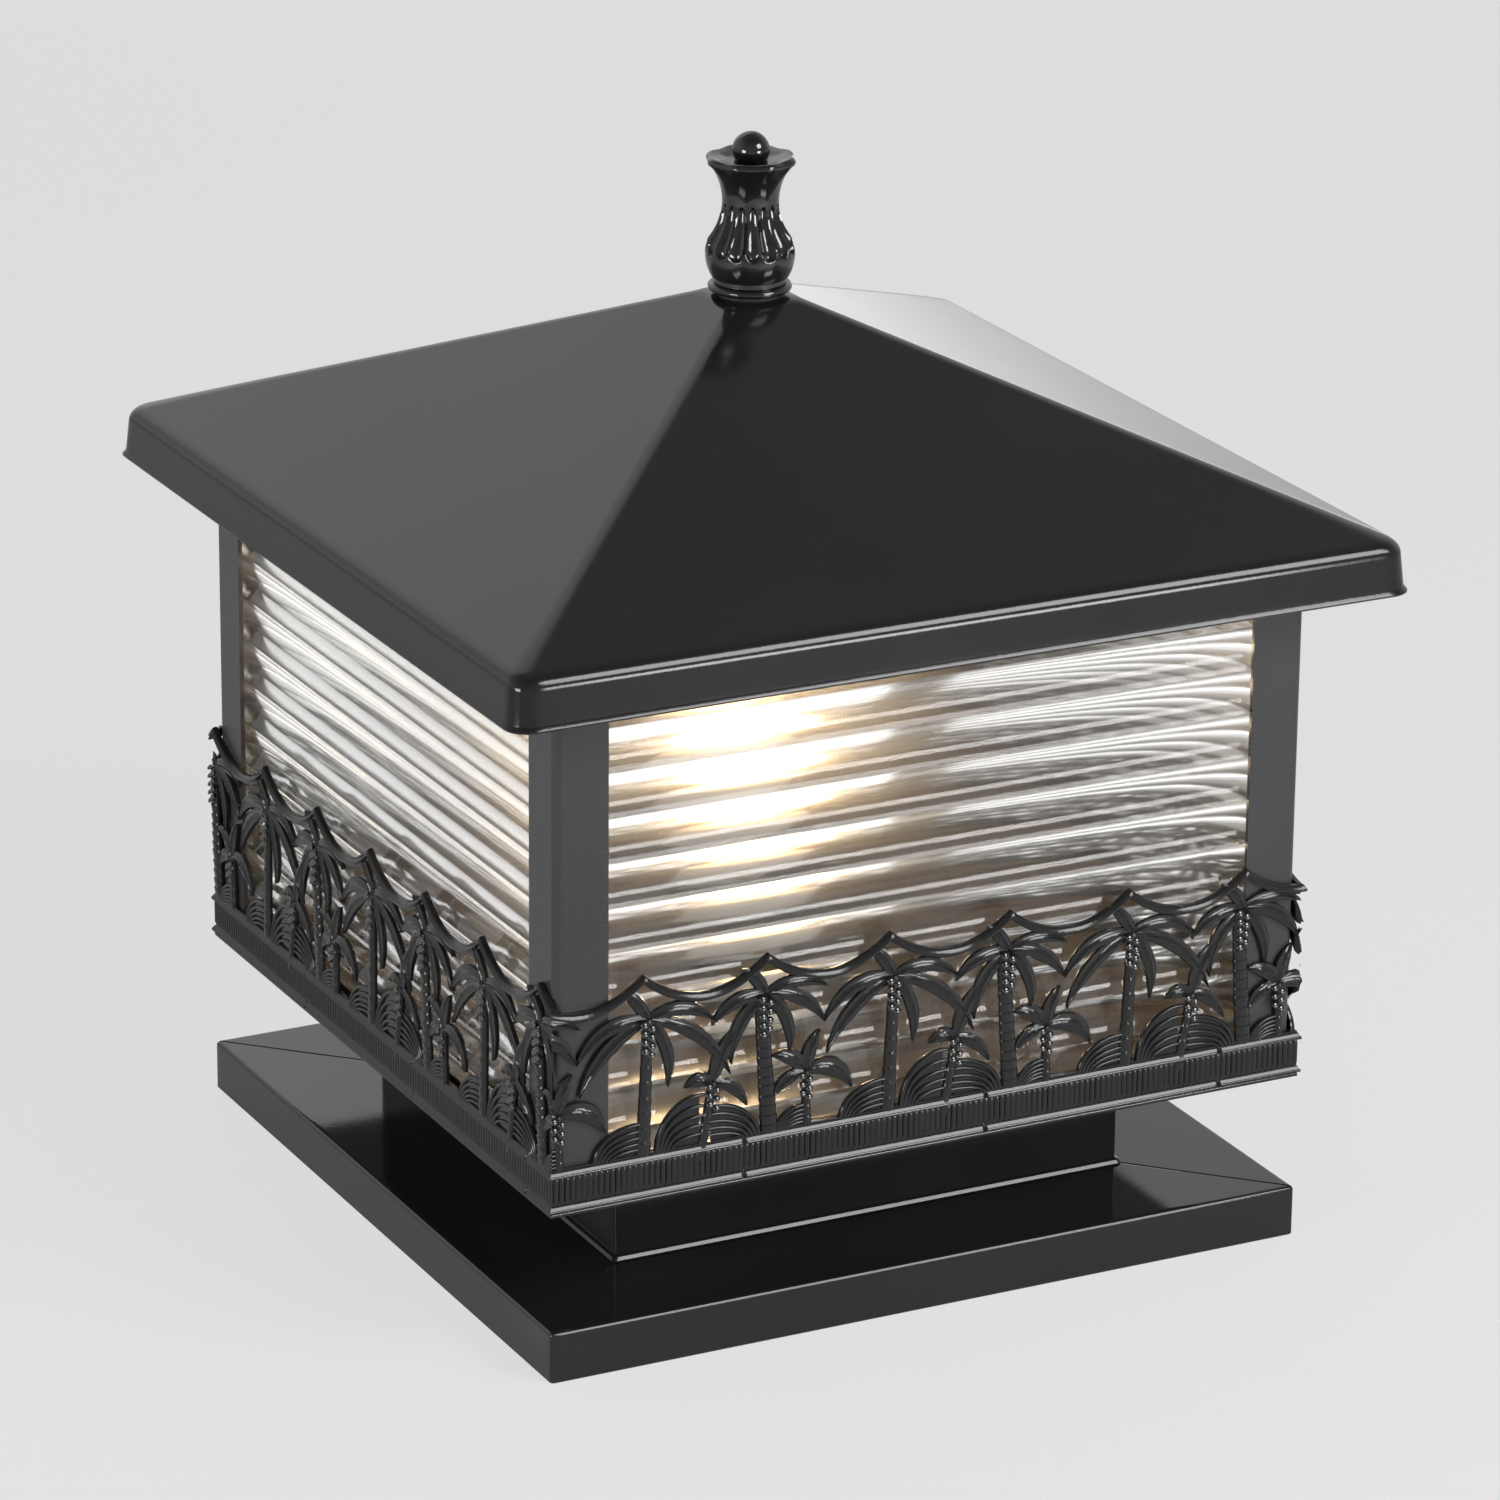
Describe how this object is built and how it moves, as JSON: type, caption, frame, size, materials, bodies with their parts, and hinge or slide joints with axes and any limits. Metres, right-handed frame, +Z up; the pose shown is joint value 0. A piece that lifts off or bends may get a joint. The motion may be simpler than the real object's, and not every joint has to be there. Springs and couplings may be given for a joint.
{
  "type": "pillar lantern",
  "caption": "Square pillar lantern with a hipped lift-off roof, ribbed glass panes, a pierced palm frieze, a neck and a base that bolts down on a pillar.",
  "frame": {"origin": "middle of the base's underside, on the pillar's top", "axes": "+Z up along the rod, bulb and finial; -Y out of the front pane; +X to the right seen from the front"},
  "size_m": [0.3, 0.3, 0.3393],
  "materials": {
    "black_paint": "semi-gloss black powder coat",
    "roof_paint": "semi-gloss black powder coat on sheet",
    "cast_black": "gloss black paint on a casting",
    "zinc_steel": "zinc plated",
    "ribbed_glass": "clear, ribbed outside",
    "opal_glass": "opal, lit from inside",
    "brass": "plain turned and pressed brass",
    "bulb_metal": "pressed",
    "black_glass": "black glass",
    "porcelain": "white, glazed",
    "rubber": "soft black seal",
    "bush_plastic": "moulded"
  },
  "bodies": {
    "lantern_body": {"base_pan": "black_paint", "neck": "black_paint", "floor_tray": "black_paint", "post_front_left": "black_paint", "post_front_right": "black_paint", "post_back_right": "black_paint", "post_back_left": "black_paint", "top_rail_front": "black_paint", "top_rail_right": "black_paint", "top_rail_back": "black_paint", "top_rail_left": "black_paint", "palm_frieze_front": "cast_black", "palm_frieze_right": "cast_black", "palm_frieze_back": "cast_black", "palm_frieze_left": "cast_black", "mounting_plate": "zinc_steel", "hollow_rod": "zinc_steel", "rod_lock_nut": "zinc_steel", "clamp_washer": "zinc_steel", "clamp_nut": "zinc_steel", "earth_screw": "zinc_steel", "crossbar": "zinc_steel", "crossbar_screws": "zinc_steel", "crossbar_nuts": "zinc_steel", "roof_stud": "zinc_steel", "stud_nuts": "zinc_steel", "glass_pane_front": "ribbed_glass", "glass_pane_right": "ribbed_glass", "glass_pane_back": "ribbed_glass", "glass_pane_left": "ribbed_glass", "lampholder_shell": "brass", "lampholder_contact": "brass", "terminal_screws": "brass", "lampholder_body": "porcelain", "roof_gasket": "rubber", "glass_pads": "rubber", "cable_bush": "bush_plastic"},
    "roof": {"roof_shell": "roof_paint", "roof_washer": "rubber", "roof_collar": "roof_paint"},
    "finial_core": {"finial_insert": "brass"},
    "finial": {"finial": "cast_black"},
    "bulb_foot": {"bulb_contact": "bulb_metal", "bulb_insulator": "black_glass"},
    "bulb": {"bulb_cap": "bulb_metal", "bulb_globe": "opal_glass"}
  },
  "joints": [
    {"name": "roof_lift", "type": "slide", "parent": "lantern_body", "child": "roof", "axis": [0, 0, 1], "range_m": [0, 0.16]},
    {"name": "finial_lift", "type": "slide", "parent": "roof", "child": "finial_core", "axis": [0, 0, 1], "range_m": [0, 0.0101]},
    {"name": "finial_turn", "type": "hinge", "parent": "finial_core", "child": "finial", "pos_m": [0, 0, 0.3], "axis": [0, 0, 1], "range_deg": [0, 2880]},
    {"name": "bulb_lift", "type": "slide", "parent": "lantern_body", "child": "bulb_foot", "axis": [0, 0, 1], "range_m": [0, 0.0109]},
    {"name": "bulb_turn", "type": "hinge", "parent": "bulb_foot", "child": "bulb", "pos_m": [0, 0, 0.1], "axis": [0, 0, 1], "range_deg": [0, 1080]}
  ],
  "couplings": [
    {"joint": "finial_lift", "follows": "finial_turn", "m_per_rad": 0.00019894},
    {"joint": "bulb_lift", "follows": "bulb_turn", "m_per_rad": 0.00057757}
  ]
}
